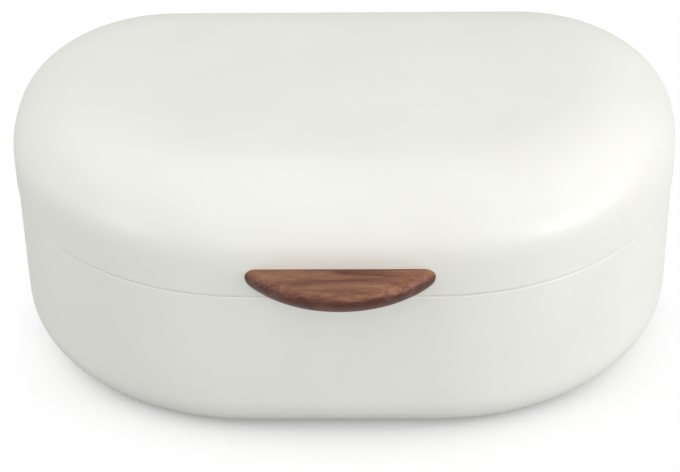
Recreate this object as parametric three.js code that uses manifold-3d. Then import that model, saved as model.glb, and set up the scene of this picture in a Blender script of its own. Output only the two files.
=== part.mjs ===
// A bread box: a sheet steel tub on four rubber feet, and a domed steel lid that two hinges carry
// at the back. A walnut grip on the lid's front lifts it.
// Lengths are in millimetres. +Z is up, the grip points to -Y and the hinges lie at +Y.
// The origin is on the surface that the feet stand on, under the middle of the whole box.

import * as THREE from "three";
import { mergeVertices } from "three/addons/utils/BufferGeometryUtils.js";
import Module from "manifold-3d";

// The lid's outline seen from above: a long flat back with tight corners and a short flat front
// with wide ones. A short straight stretch joins them on each end.
const lidLength = 400;
const lidDepth = 250;
const frontFlatLength = 106;
const backFlatLength = 214;
const frontCornerDepth = 146;
const backCornerDepth = 93;
const sheetThickness = 1;

// The tub stands a little inside the lid's outline. Its wall turns in over a rounded shoulder
// to a ledge, and from there up to a lip that the lid drops over.
const tubHeight = 99;
const tubInset = 0.8;
const tubCornerReach = 20;
const tubCornerRise = 24;
const shoulderRadius = 2;
const ledgeWidth = 5;
const lipHeight = 9;

// The lid has an upright skirt with a folded hem, a large edge arc that reaches further in than
// up and ends just short of level, and a shallow crown.
const skirtHeight = 21.2;
const lidCornerReach = 62;
const lidCornerRise = 46;
const lidCornerTurn = THREE.MathUtils.degToRad(84);
const crownHeight = 3;
const hemThickness = 2.4;
const hemHeight = 4;

// The feet are pushed up through holes in the tub's floor.
const footRadius = 8;
const footHeight = 2;
const footEdge = 0.8;
const footStemRadius = 2.5;
const footBarbRadius = 3.6;
const footBarbTipRadius = 1.8;
const footBarbHeight = 2.4;
const frontFootInset = 66;
const backFootInset = 58;
const frontFootEndInset = 85;
const backFootEndInset = 65;

// The walnut grip is a half-moon plate. Its upper edge is rounded, and its lower edge takes
// the rest of the thickness in one round for the fingers.
const gripLength = 106;
const gripDepth = 26;
const gripThickness = 15.5;
const gripEdgeRadius = 5;

// The grip's two wood screws are driven from inside the lid, over washers, a set height above
// the lid's edge.
const screwHeight = 11.2;
const screwSpacing = 56;
const screwRadius = 1.75;
const screwLength = 15;
const screwPointLength = 3;
const screwHeadRadius = 3.5;
const screwHeadHeight = 2;
const screwRecessRadius = 1.2;
const screwRecessDepth = 1.2;
const washerRadius = 5;
const washerThickness = 0.8;

// The hinges are flat leaves on the outside of the back, rolled round a pin.
const hingeSpacing = 140;
const leafWidth = 40;
const leafThickness = 1.2;
const tubLeafHeight = 22;
const lidLeafMargin = 5.9;
const barrelRadius = 3.2;
const barrelStandOff = 0.8;
const lidBarrelLength = 14;
const pinRadius = 1.5;
const pinHeadRadius = 2.3;
const pinHeadThickness = 0.8;

// A lug on the lid's barrel meets a tab on the tub's leaf and stops the open lid.
const openAngle = THREE.MathUtils.degToRad(105);
const lugReach = 2.4;
const lugThickness = 1.2;

// Two rivets hold each leaf.
const rivetEndInset = 7;
const rivetRadius = 1.6;
const rivetHeadRadius = 3;
const rivetHeadHeight = 1;
const rivetTailRadius = 2.5;
const rivetTailHeight = 0.8;

// The room between a shank and its hole, between a pin and its barrel, and between parts that
// pass each other. A cutting body runs past what it cuts by the overrun.
const holeClearance = 0.3;
const pinClearance = 0.08;
const partClearance = 0.3;
const cutOverrun = 2;

// How finely the round shapes are divided.
const frontArcSteps = 14;
const backArcSteps = 11;
const tubEdgeSteps = 5;
const lidEdgeSteps = 8;
const smallArcSteps = 3;
const crownSteps = 3;
const turnedSteps = 16;
const gripArcSteps = 22;
const gripEdgeSteps = 4;

// Places that follow from the sizes above.
const frontY = -lidDepth / 2;
const backY = lidDepth / 2;
const tubBackY = backY - tubInset;
const floorZ = footHeight;
const ledgeZ = floorZ + tubHeight;
const lidEdgeZ = ledgeZ;
const skirtTopZ = lidEdgeZ + skirtHeight;
const lidTopZ = skirtTopZ + lidCornerRise * Math.sin(lidCornerTurn) + crownHeight;
const screwZ = lidEdgeZ + screwHeight;
const barrelY = backY + barrelStandOff + barrelRadius;
const barrelZ = lidEdgeZ;

const enamel = { color: 0xdcdcd2, roughness: 0.55, metalness: 0 };
const walnut = { color: 0x80553f, roughness: 0.45, metalness: 0 };
const plainSteel = { color: 0xb9bbbd, roughness: 0.35, metalness: 1 };
const softRubber = { color: 0x3a3a3a, roughness: 0.8, metalness: 0 };

const quarterTurn = Math.PI / 2;
const halfTurn = Math.PI;
const wasm = await Module();
wasm.setup();

// Cuts and joins work on closed meshes whose vertices are shared.
function toManifold(geometry) {
  const bare = geometry.clone();
  bare.deleteAttribute("normal");
  bare.deleteAttribute("uv");
  const merged = mergeVertices(bare);
  return new wasm.Manifold(
    new wasm.Mesh({
      numProp: 3,
      vertProperties: new Float32Array(merged.attributes.position.array),
      triVerts: new Uint32Array(merged.index.array),
    }),
  );
}

function toGeometry(manifold) {
  const mesh = manifold.getMesh();
  const geometry = new THREE.BufferGeometry();
  geometry.setAttribute("position", new THREE.BufferAttribute(mesh.vertProperties, 3));
  geometry.setIndex(new THREE.BufferAttribute(mesh.triVerts, 1));
  return geometry;
}

function joined(geometries) {
  return toGeometry(geometries.map(toManifold).reduce((whole, piece) => whole.add(piece)));
}

function cutBy(geometry, cutters) {
  const uncut = toManifold(geometry);
  return toGeometry(cutters.map(toManifold).reduce((whole, cutter) => whole.subtract(cutter), uncut));
}

// A box between two corners.
function block(low, high) {
  const size = high.map((value, i) => value - low[i]);
  const middle = high.map((value, i) => (value + low[i]) / 2);
  return new THREE.BoxGeometry(...size).translate(...middle);
}

// A piece turned about Z. Its profile lists radius and height.
function turned(profile) {
  const points = profile.map(([radius, height]) => new THREE.Vector2(radius, height));
  return new THREE.LatheGeometry(points, turnedSteps).rotateX(quarterTurn);
}

function cylinder(radius, low, high) {
  return turned([[0, low], [radius, low], [radius, high], [0, high]]);
}

// These lay a piece's upright axis along +X, towards the back and towards the front.
function alongX(geometry) {
  return geometry.rotateY(quarterTurn);
}

function towardsBack(geometry) {
  return geometry.rotateX(-quarterTurn);
}

function towardsFront(geometry) {
  return geometry.rotateX(quarterTurn);
}

// Points on an arc or a quarter of an oval, from one angle to another.
function arc(centreX, centreY, radiusX, radiusY, from, to, steps) {
  return Array.from({ length: steps + 1 }, (_, i) => {
    const angle = from + ((to - from) * i) / steps;
    return [centreX + radiusX * Math.cos(angle), centreY + radiusY * Math.sin(angle)];
  });
}

// The section of a rounded edge, as offsets and heights from its level end to its upright end.
function edgeSection(offset, height, reach, rise, turn, steps) {
  return arc(offset + reach, height, -reach, rise, turn, 0, steps);
}

// The box's outline from above, moved inwards by an offset, anticlockwise.
function outline(offset) {
  const backX = backFlatLength / 2;
  const frontX = frontFlatLength / 2;
  const backReach = lidLength / 2 - backX - offset;
  const frontReach = lidLength / 2 - frontX - offset;
  const backArcY = backY - backCornerDepth;
  const frontArcY = frontY + frontCornerDepth;
  const backDepth = backCornerDepth - offset;
  const frontDepth = frontCornerDepth - offset;
  return [
    ...arc(backX, backArcY, backReach, backDepth, 0, quarterTurn, backArcSteps),
    ...arc(-backX, backArcY, backReach, backDepth, quarterTurn, halfTurn, backArcSteps),
    ...arc(-frontX, frontArcY, frontReach, frontDepth, -halfTurn, -quarterTurn, frontArcSteps),
    ...arc(frontX, frontArcY, frontReach, frontDepth, -quarterTurn, 0, frontArcSteps),
  ];
}

// A closed body through a stack of rings with equally many points, with a middle point at each end.
function lofted(rings, firstPoint, lastPoint) {
  const count = rings[0].length;
  const first = rings.length * count;
  const last = first + 1;
  const lastRing = first - count;
  const triangles = [];
  for (let i = 0; i < count; i += 1) {
    const next = (i + 1) % count;
    triangles.push(first, next, i);
    for (let low = 0; low < lastRing; low += count) {
      const high = low + count;
      triangles.push(low + i, low + next, high + next);
      triangles.push(low + i, high + next, high + i);
    }
    triangles.push(lastRing + i, lastRing + next, last);
  }
  const positions = new Float32Array([...rings.flat(2), ...firstPoint, ...lastPoint]);
  const geometry = new THREE.BufferGeometry();
  geometry.setAttribute("position", new THREE.BufferAttribute(positions, 3));
  geometry.setIndex(triangles);
  return geometry;
}

// A pressed shell. Each step of its profile gives an offset from the outline, a height and,
// where the surface runs on to the middle, the share of its size that the ring keeps.
function pressedShell(profile, firstZ, lastZ) {
  const rings = profile.map(([offset, height, keptShare = 1]) =>
    outline(offset).map(([x, y]) => [x * keptShare, y * keptShare, height]),
  );
  return lofted(rings, [0, 0, firstZ], [0, 0, lastZ]);
}

// The rings of the crown between its edge and its middle, from the edge inwards.
function crownProfile([offset, edgeZ], middleZ) {
  return Array.from({ length: crownSteps - 1 }, (_, i) => {
    const keptShare = 1 - (i + 1) / crownSteps;
    return [offset, middleZ - (middleZ - edgeZ) * keptShare ** 2, keptShare];
  });
}

function makeTub() {
  const innerInset = tubInset + sheetThickness;
  const innerShoulderRadius = shoulderRadius - sheetThickness;
  const shoulderZ = ledgeZ - shoulderRadius;
  const cornerZ = floorZ + tubCornerRise;
  const lipInset = tubInset + ledgeWidth;
  const lipRound = sheetThickness / 2;
  const lipRoundZ = ledgeZ + lipHeight - lipRound;
  const outerCorner = edgeSection(tubInset, cornerZ, tubCornerReach, -tubCornerRise,
    quarterTurn, tubEdgeSteps);
  const innerCorner = edgeSection(innerInset, cornerZ, tubCornerReach - sheetThickness,
    sheetThickness - tubCornerRise, quarterTurn, tubEdgeSteps);
  const outerShoulder = edgeSection(tubInset, shoulderZ, shoulderRadius, shoulderRadius,
    quarterTurn, smallArcSteps);
  const innerShoulder = edgeSection(innerInset, shoulderZ, innerShoulderRadius, innerShoulderRadius,
    quarterTurn, smallArcSteps);
  const lipTop = arc(lipInset + lipRound, lipRoundZ, lipRound, lipRound, halfTurn, 0, smallArcSteps);
  const profile = [
    ...outerCorner,
    ...outerShoulder.toReversed(),
    [lipInset, ledgeZ],
    ...lipTop,
    [lipInset + sheetThickness, ledgeZ - sheetThickness],
    ...innerShoulder,
    ...innerCorner.toReversed(),
  ];
  const shell = pressedShell(profile, floorZ, floorZ + sheetThickness);
  const holeTopZ = floorZ + sheetThickness + cutOverrun;
  const footHoles = footPlaces.map(([, x, y]) =>
    cylinder(footStemRadius + holeClearance, floorZ - cutOverrun, holeTopZ).translate(x, y, 0),
  );
  return cutBy(shell, [...footHoles, ...tubRivetPlaces.map(rivetHole)]);
}

function makeLid() {
  const hemRound = hemThickness / 2;
  const hemFoldWidth = hemThickness - sheetThickness;
  const innerTopZ = lidTopZ - sheetThickness;
  const outer = edgeSection(0, skirtTopZ, lidCornerReach, lidCornerRise, lidCornerTurn, lidEdgeSteps);
  const inner = edgeSection(sheetThickness, skirtTopZ, lidCornerReach - sheetThickness,
    lidCornerRise - sheetThickness, lidCornerTurn, lidEdgeSteps);
  const hemTop = arc(sheetThickness, lidEdgeZ + hemHeight - hemFoldWidth, hemFoldWidth, hemFoldWidth,
    quarterTurn, 0, smallArcSteps);
  const hemFold = arc(hemRound, lidEdgeZ + hemRound, hemRound, hemRound, 0, -halfTurn, 2 * smallArcSteps);
  const profile = [
    ...crownProfile(inner[0], innerTopZ).toReversed(),
    ...inner,
    ...hemTop,
    ...hemFold,
    ...outer.toReversed(),
    ...crownProfile(outer[0], lidTopZ),
  ];
  const shell = pressedShell(profile, innerTopZ, lidTopZ);
  const screwHoles = screwPlaces.map(([, x]) => screwHole(x, -sheetThickness - cutOverrun, cutOverrun));
  return cutBy(shell, [...screwHoles, ...lidRivetPlaces.map(rivetHole)]);
}

// The grip's outline, moved inwards by an inset everywhere but along its flat back.
function gripRing([inset, height]) {
  const bowRadius = ((gripLength / 2) ** 2 + gripDepth ** 2) / (2 * gripDepth);
  const bowY = frontY - gripDepth + bowRadius;
  const radius = bowRadius - inset;
  const halfSpan = Math.acos((bowY - frontY) / radius);
  const bow = arc(0, bowY, radius, radius, -quarterTurn - halfSpan, -quarterTurn + halfSpan, gripArcSteps);
  return bow.map(([x, y]) => [x, y, height]);
}

function makeGrip() {
  const gripTopZ = screwZ + gripThickness / 2;
  const gripBottomZ = screwZ - gripThickness / 2;
  const lowerRadius = gripThickness - gripEdgeRadius;
  const waistZ = gripTopZ - gripEdgeRadius;
  const lowerEdge = edgeSection(0, waistZ, lowerRadius, -lowerRadius, quarterTurn, gripEdgeSteps);
  const upperEdge = edgeSection(0, waistZ, gripEdgeRadius, gripEdgeRadius, quarterTurn, gripEdgeSteps);
  const rings = [...lowerEdge, ...upperEdge.toReversed().slice(1)].map(gripRing);
  const middleY = frontY - gripDepth / 2;
  const plate = lofted(rings, [0, middleY, gripBottomZ], [0, middleY, gripTopZ]);
  const pilotDepth = screwLength - washerThickness - sheetThickness + partClearance;
  return cutBy(plate, screwPlaces.map(([, x]) => screwHole(x, -cutOverrun, pilotDepth)));
}

function makeFoot() {
  const barbZ = floorZ + sheetThickness;
  return turned([
    [0, 0],
    [footRadius - footEdge, 0],
    [footRadius, footEdge],
    [footRadius, footHeight],
    [footStemRadius, footHeight],
    [footStemRadius, barbZ],
    [footBarbRadius, barbZ],
    [footBarbTipRadius, barbZ + footBarbHeight],
    [0, barbZ + footBarbHeight],
  ]);
}

// The screw's head rests on its washer at height zero, and its shank points up.
function makeScrew() {
  const recessFloor = screwRecessDepth - screwHeadHeight;
  const screw = turned([
    [0, recessFloor],
    [screwRecessRadius, recessFloor],
    [screwRecessRadius, -screwHeadHeight],
    [screwHeadRadius, -screwHeadHeight],
    [screwHeadRadius, 0],
    [screwRadius, 0],
    [screwRadius, screwLength - screwPointLength],
    [0, screwLength],
  ]);
  return towardsFront(screw);
}

// A hole for a screw, between two distances in front of the skirt's outer face.
function screwHole(x, start, end) {
  return towardsFront(cylinder(screwRadius + holeClearance, start, end)).translate(x, frontY, screwZ);
}

function makeWasher() {
  const boreRadius = screwRadius + holeClearance;
  const washer = turned([
    [boreRadius, 0],
    [washerRadius, 0],
    [washerRadius, washerThickness],
    [boreRadius, washerThickness],
    [boreRadius, 0],
  ]);
  return towardsFront(washer);
}

// A rivet through the sheet and a leaf. Its tail bears on the sheet's inner face at height zero.
function makeRivet() {
  const headZ = sheetThickness + leafThickness;
  const rivet = turned([
    [0, -rivetTailHeight],
    [rivetTailRadius, -rivetTailHeight],
    [rivetTailRadius, 0],
    [rivetRadius, 0],
    [rivetRadius, headZ],
    ...arc(0, headZ, rivetHeadRadius, rivetHeadHeight, 0, quarterTurn, smallArcSteps).slice(0, -1),
    [0, headZ + rivetHeadHeight],
  ]);
  return towardsBack(rivet);
}

function rivetHole([, x, y, z]) {
  const outside = sheetThickness + leafThickness + cutOverrun;
  return towardsBack(cylinder(rivetRadius + holeClearance, -cutOverrun, outside)).translate(x, y, z);
}

// A barrel round the hinge's axis between two places along it. The bore is cut after joining.
function barrel(x, low, high) {
  return alongX(cylinder(barrelRadius, low, high)).translate(x, barrelY, barrelZ);
}

function barrelBore(x) {
  const reach = leafWidth / 2 + cutOverrun;
  return alongX(cylinder(pinRadius + pinClearance, -reach, reach)).translate(x, barrelY, barrelZ);
}

// The tub's leaf: a plate on the wall, two barrels on tongues under the axis,
// and between them the tab that stops the lug.
function makeTubLeaf(x) {
  const half = leafWidth / 2;
  const outerY = tubBackY + leafThickness;
  const tongueZ = barrelZ - barrelRadius;
  const plateTopZ = tongueZ + leafThickness;
  const barrelStart = lidBarrelLength / 2 + partClearance;
  const tabHalf = lidBarrelLength / 2 - partClearance;
  const tabTopZ = tongueZ - partClearance;
  const tabBackY = barrelY - lugThickness / 2 - partClearance;
  const sides = [-1, 1].flatMap((side) => {
    const [low, high] = [side * barrelStart, side * half].sort((a, b) => a - b);
    return [
      barrel(x, low, high),
      block([x + low, tubBackY, tongueZ], [x + high, barrelY, plateTopZ]),
    ];
  });
  const leaf = joined([
    block([x - half, tubBackY, barrelZ - tubLeafHeight], [x + half, outerY, plateTopZ]),
    block([x - tabHalf, tubBackY, tabTopZ - leafThickness], [x + tabHalf, tabBackY, tabTopZ]),
    ...sides,
  ]);
  const holes = tubRivetPlaces.filter((place) => Math.abs(place[1] - x) < half).map(rivetHole);
  return cutBy(leaf, [barrelBore(x), ...holes]);
}

// The lid's leaf: a plate on the skirt and one barrel on a tongue over the axis, with the lug.
function makeLidLeaf(x) {
  const half = leafWidth / 2;
  const barrelHalf = lidBarrelLength / 2;
  const outerY = backY + leafThickness;
  const tongueTopZ = barrelZ + barrelRadius;
  const tongueZ = tongueTopZ - leafThickness;
  const lug = block([-barrelHalf, 0, -lugThickness / 2], [barrelHalf, barrelRadius + lugReach, lugThickness / 2]);
  const leaf = joined([
    block([x - half, backY, lidPlateZ], [x + half, outerY, lidPlateTopZ]),
    block([x - barrelHalf, backY, tongueZ], [x + barrelHalf, outerY, lidPlateTopZ]),
    block([x - barrelHalf, backY, tongueZ], [x + barrelHalf, barrelY, tongueTopZ]),
    barrel(x, -barrelHalf, barrelHalf),
    lug.rotateX(openAngle - quarterTurn).translate(x, barrelY, barrelZ),
  ]);
  const holes = lidRivetPlaces.filter((place) => Math.abs(place[1] - x) < half).map(rivetHole);
  return cutBy(leaf, [barrelBore(x), ...holes]);
}

function makePin(x) {
  const half = leafWidth / 2;
  const pin = turned([
    [0, -half - pinHeadThickness],
    [pinHeadRadius, -half - pinHeadThickness],
    [pinHeadRadius, -half],
    [pinRadius, -half],
    [pinRadius, half],
    [pinHeadRadius, half],
    [pinHeadRadius, half + pinHeadThickness],
    [0, half + pinHeadThickness],
  ]);
  return alongX(pin).translate(x, barrelY, barrelZ);
}

const lidPlateZ = barrelZ + barrelRadius + partClearance;
const lidPlateTopZ = skirtTopZ - lidLeafMargin;
const tubRivetZ = barrelZ - (barrelRadius + tubLeafHeight) / 2;
const lidRivetZ = (lidPlateZ + lidPlateTopZ) / 2;

const frontFootX = lidLength / 2 - frontFootEndInset;
const backFootX = lidLength / 2 - backFootEndInset;
const footPlaces = [
  ["foot_front_left", -frontFootX, frontY + frontFootInset],
  ["foot_front_right", frontFootX, frontY + frontFootInset],
  ["foot_back_left", -backFootX, backY - backFootInset],
  ["foot_back_right", backFootX, backY - backFootInset],
];
const screwPlaces = [
  ["left", -screwSpacing / 2],
  ["right", screwSpacing / 2],
];
const hingePlaces = [
  ["left", -hingeSpacing / 2],
  ["right", hingeSpacing / 2],
];

// Each leaf's rivets, placed where their tails bear on the inside of the sheet.
function rivetPlaces(owner, wallY, z) {
  const fromMiddle = leafWidth / 2 - rivetEndInset;
  return hingePlaces.flatMap(([side, x]) => [
    [`${owner}_rivet_${side}_a`, x - fromMiddle, wallY - sheetThickness, z],
    [`${owner}_rivet_${side}_b`, x + fromMiddle, wallY - sheetThickness, z],
  ]);
}

const tubRivetPlaces = rivetPlaces("tub", tubBackY, tubRivetZ);
const lidRivetPlaces = rivetPlaces("lid", backY, lidRivetZ);

const model = new THREE.Group();

function addPart(name, geometry, finish) {
  const mesh = new THREE.Mesh(geometry, new THREE.MeshStandardMaterial(finish));
  mesh.name = name;
  model.add(mesh);
  return mesh;
}

addPart("tub", makeTub(), enamel);
addPart("lid", makeLid(), enamel);
addPart("grip", makeGrip(), walnut);
for (const [name, x, y] of footPlaces) {
  addPart(name, makeFoot(), softRubber).position.set(x, y, 0);
}
for (const [side, x] of screwPlaces) {
  const washerY = frontY + sheetThickness + washerThickness;
  addPart(`grip_screw_${side}`, makeScrew(), plainSteel).position.set(x, washerY, screwZ);
  addPart(`grip_washer_${side}`, makeWasher(), plainSteel).position.set(x, washerY, screwZ);
}
for (const [side, x] of hingePlaces) {
  addPart(`hinge_${side}_tub_leaf`, makeTubLeaf(x), plainSteel);
  addPart(`hinge_${side}_lid_leaf`, makeLidLeaf(x), plainSteel);
  addPart(`hinge_${side}_pin`, makePin(x), plainSteel);
}
for (const [name, x, y, z] of [...tubRivetPlaces, ...lidRivetPlaces]) {
  addPart(name, makeRivet(), plainSteel).position.set(x, y, z);
}

// The middle of the whole box, from the grip's front to the lug's back, comes over the origin.
const extent = new THREE.Box3().setFromObject(model, true);
model.position.y = -(extent.min.y + extent.max.y) / 2;

export default model;
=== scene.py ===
# %% [markdown]
# # A bread box of painted steel
#
# The box is a low oval tub with a domed lid, both pressed from steel sheet one millimetre thick and
# powder coated a warm off-white. A half-moon walnut grip sits on the lid's front, two steel hinges
# carry the lid at the back, and four rubber feet keep the tub off the worktop.
#
# The CAD model already says where each piece is and how the lid turns, so it is loaded first, as a
# fixed frame. Each of its pieces is then replaced by one with a finer shape and its own finish.
# Blender works in metres, and the box's sizes are in millimetres, so one factor converts them.

# %% Load the frame and keep its box
import math

import bmesh
import bpy
from mathutils import Matrix, Vector


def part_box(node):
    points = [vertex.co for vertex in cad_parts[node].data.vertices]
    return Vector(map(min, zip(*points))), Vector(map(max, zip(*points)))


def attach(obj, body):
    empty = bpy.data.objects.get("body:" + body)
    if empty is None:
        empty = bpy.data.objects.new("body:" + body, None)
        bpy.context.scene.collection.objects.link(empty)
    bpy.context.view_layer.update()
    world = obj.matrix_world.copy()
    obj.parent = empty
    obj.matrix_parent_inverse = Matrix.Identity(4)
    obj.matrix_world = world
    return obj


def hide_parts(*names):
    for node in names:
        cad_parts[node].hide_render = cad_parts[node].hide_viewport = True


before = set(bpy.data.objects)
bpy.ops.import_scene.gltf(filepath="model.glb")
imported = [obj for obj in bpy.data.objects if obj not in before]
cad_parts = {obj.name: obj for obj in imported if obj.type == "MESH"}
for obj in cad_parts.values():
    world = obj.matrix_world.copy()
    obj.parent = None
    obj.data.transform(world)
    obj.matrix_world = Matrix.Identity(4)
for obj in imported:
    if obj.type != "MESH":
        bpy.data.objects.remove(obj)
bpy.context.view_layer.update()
MM = 0.001
lid_low, lid_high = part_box("lid")

# %% [markdown]
# ## Working as by hand
#
# An operator acts on all that is selected, and loading leaves the frame's pieces selected. So each
# step starts with nothing selected. Faces, edges and vertices are picked by a test on their middle,
# in millimetres, where a person would click on them. Two places less than 0.01 mm apart count as
# one.

# %% Helpers for selecting
CLOSE = 0.01


def deselect():
    if bpy.context.mode != "OBJECT":
        bpy.ops.object.mode_set(mode="OBJECT")
    bpy.ops.object.select_all(action="DESELECT")


def activate(piece):
    deselect()
    piece.select_set(True)
    bpy.context.view_layer.objects.active = piece


def edit(piece):
    activate(piece)
    bpy.ops.object.mode_set(mode="EDIT")


def middle_of(part):
    places = [vert.co for vert in getattr(part, "verts", [part])]
    return sum(places, Vector()) / len(places)


def pick(kind, test):
    """Selects each vertex, edge or face that passes the test of its middle and itself."""
    bpy.ops.mesh.select_mode(type=kind)
    bpy.ops.mesh.select_all(action="DESELECT")
    mesh = bmesh.from_edit_mesh(bpy.context.object.data)
    parts = {"VERT": mesh.verts, "EDGE": mesh.edges, "FACE": mesh.faces}[kind]
    found = [part for part in parts if test(middle_of(part) / MM, part)]
    for part in found:
        part.select_set(True)
    mesh.select_flush_mode()
    bmesh.update_edit_mesh(bpy.context.object.data)


def start_piece(name):
    """Names the new primitive, applies its place and leaves it in edit mode, all selected."""
    piece = bpy.context.object
    piece.name = piece.data.name = name
    bpy.ops.object.transform_apply(location=True, rotation=True, scale=True)
    bpy.ops.object.mode_set(mode="EDIT")
    bpy.ops.mesh.select_mode(type="FACE")
    bpy.ops.mesh.select_all(action="SELECT")
    return piece


print("Frame pieces:", len(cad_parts))

# %% [markdown]
# Modifiers such as Solidify and Subdivision Surface do what would be slow by hand. Each one is
# applied at once, so that the finished piece is plain faces. A finished piece is shaded smooth,
# apart from edges where its faces meet at more than 35 degrees.

# %% Helpers for modifiers and copies
SMOOTH_BELOW = math.radians(35)


def modify(piece, kind, **settings):
    activate(piece)
    modifier = piece.modifiers.new(kind.lower(), kind)
    for name, value in settings.items():
        setattr(modifier, name, value)
    bpy.ops.object.modifier_apply(modifier=modifier.name)


def place(piece, move=(0, 0, 0), turn=(0, 0, 0)):
    """Turns the piece about the origin, moves it, and applies both to its mesh."""
    activate(piece)
    piece.rotation_euler = turn
    piece.location = Vector(move) * MM
    bpy.ops.object.transform_apply(location=True, rotation=True, scale=True)


def copy_of(piece, name):
    activate(piece)
    bpy.ops.object.duplicate(linked=False)
    copy = bpy.context.object
    copy.name = copy.data.name = name
    return copy


def join(piece, other):
    """Makes the other piece a part of this one."""
    activate(piece)
    other.select_set(True)
    bpy.ops.object.join()


def finish_piece(piece, material, body, node):
    """Gives a piece its finish, and lets it ride in the place of a CAD node."""
    edit(piece)
    bpy.ops.mesh.select_all(action="SELECT")
    bpy.ops.mesh.normals_make_consistent(inside=False)
    activate(piece)
    bpy.ops.object.shade_smooth_by_angle(angle=SMOOTH_BELOW)
    piece.data.materials.clear()
    piece.data.materials.append(material)
    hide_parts(node)
    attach(piece, body)
    triangles = sum(len(face.vertices) - 2 for face in piece.data.polygons)
    print(f"{piece.name}: {triangles} triangles in place of {node}")


# %% [markdown]
# ## Colours and nodes
#
# A colour picker gives sRGB values, and Blender's shaders work with linear light, so one function
# converts a hex value. Another adds a shader node with its settings and its links. A third turns the
# real lengths of a pattern, such as one streak's, to the scale that the texture asks for.


# %% Helpers for materials
def linear(hex_value):
    shares = [int(hex_value[i : i + 2], 16) / 255 for i in (1, 3, 5)]
    return (*[s / 12.92 if s <= 0.04045 else ((s + 0.055) / 1.055) ** 2.4 for s in shares], 1)


def add(tree, kind, inputs=None, **settings):
    node = tree.nodes.new("ShaderNode" + kind)
    for name, value in settings.items():
        setattr(node, name, value)
    for name, value in (inputs or {}).items():
        if isinstance(value, bpy.types.NodeSocket):
            tree.links.new(value, node.inputs[name])
        else:
            node.inputs[name].default_value = value
    return node


def per_metre(*lengths):
    """How often a pattern repeats in a metre along X, Y and Z, from its lengths in millimetres."""
    return tuple(1 / (length * MM) for length in lengths)


def new_material(name):
    material = bpy.data.materials.new(name)
    material.use_nodes = True
    material.node_tree.nodes.clear()
    return material, material.node_tree


def ramp(node, stops):
    """Sets a colour ramp's stops, as places and hex colours."""
    elements = node.color_ramp.elements
    while len(elements) < len(stops):
        elements.new(1)
    for element, (position, hex_value) in zip(elements, stops):
        element.position = position
        element.color = linear(hex_value)


print("Off-white #E9E9E2 in linear light:", [round(v, 3) for v in linear("#E9E9E2")[:3]])

# %% [markdown]
# ## Powder coat
#
# Steel kitchen boxes are sprayed with dry polyester powder that melts and flows in an oven. The
# film is about 80 micrometres thick, so it has no brush marks, but it sets with a faint orange peel,
# with humps 2 to 3 mm apart and a few micrometres high. This one is a satin, warm off-white. A lamp
# shows in it as a soft-edged glow along the dome and not as a spot. Cured polyester has an IOR of
# 1.5. Humps and grit come from noise in the bump, and a slow third noise lets colour and gloss vary
# a little, as film thickness does. Seen at a flat angle, the humps hide each other and scatter the
# gleam, so the coat gets duller towards its outline.

# %% Material: off-white powder coat on steel
HUMP, GRIT, FILM = 2.6, 0.7, 70
HUMP_HEIGHT, GRIT_HEIGHT = 0.02, 0.008
GLOSSY, DULL, RIM_DULLNESS = 0.28, 0.32, 0.4
powder_coat, tree = new_material("powder_coated_steel_off_white")
position = add(tree, "TexCoord").outputs["Object"]
humps = add(tree, "TexNoise", {"Vector": position, "Scale": 1 / (HUMP * MM), "Detail": 1.5})
grit = add(tree, "TexNoise", {"Vector": position, "Scale": 1 / (GRIT * MM), "Detail": 1.0})
film = add(tree, "TexNoise", {"Vector": position, "Scale": 1 / (FILM * MM), "Detail": 2.0})
tint = add(tree, "ValToRGB", {"Fac": film.outputs["Fac"]})
ramp(tint, [(0.15, "#E6E6DF"), (0.85, "#ECEDE6")])
gloss = add(tree, "MapRange", {"Value": film.outputs["Fac"], "From Min": 0.15, "From Max": 0.85,
                               "To Min": GLOSSY, "To Max": DULL})
facing = add(tree, "LayerWeight", {"Blend": 0.5}).outputs["Facing"]
rim = add(tree, "MapRange", {"Value": facing, "From Min": 0.5, "From Max": 0.95,
                             "To Min": 0.0, "To Max": RIM_DULLNESS})
dullness = add(tree, "Math", {0: gloss.outputs["Result"], 1: rim.outputs["Result"]},
               operation="ADD")
low_bump = add(tree, "Bump", {"Height": humps.outputs["Fac"], "Strength": 0.35,
                              "Distance": HUMP_HEIGHT * MM})
fine_bump = add(tree, "Bump", {"Height": grit.outputs["Fac"], "Strength": 0.3,
                               "Distance": GRIT_HEIGHT * MM,
                               "Normal": low_bump.outputs["Normal"]})
paint = add(tree, "BsdfPrincipled", {"Base Color": tint.outputs["Color"],
                                     "Roughness": dullness.outputs["Value"], "IOR": 1.5,
                                     "Normal": fine_bump.outputs["Normal"]})
add(tree, "OutputMaterial", {"Surface": paint.outputs["BSDF"]})
print(f"Powder coat: humps every {HUMP} mm, roughness {GLOSSY} to {DULL}, and duller at its rim")
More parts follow.
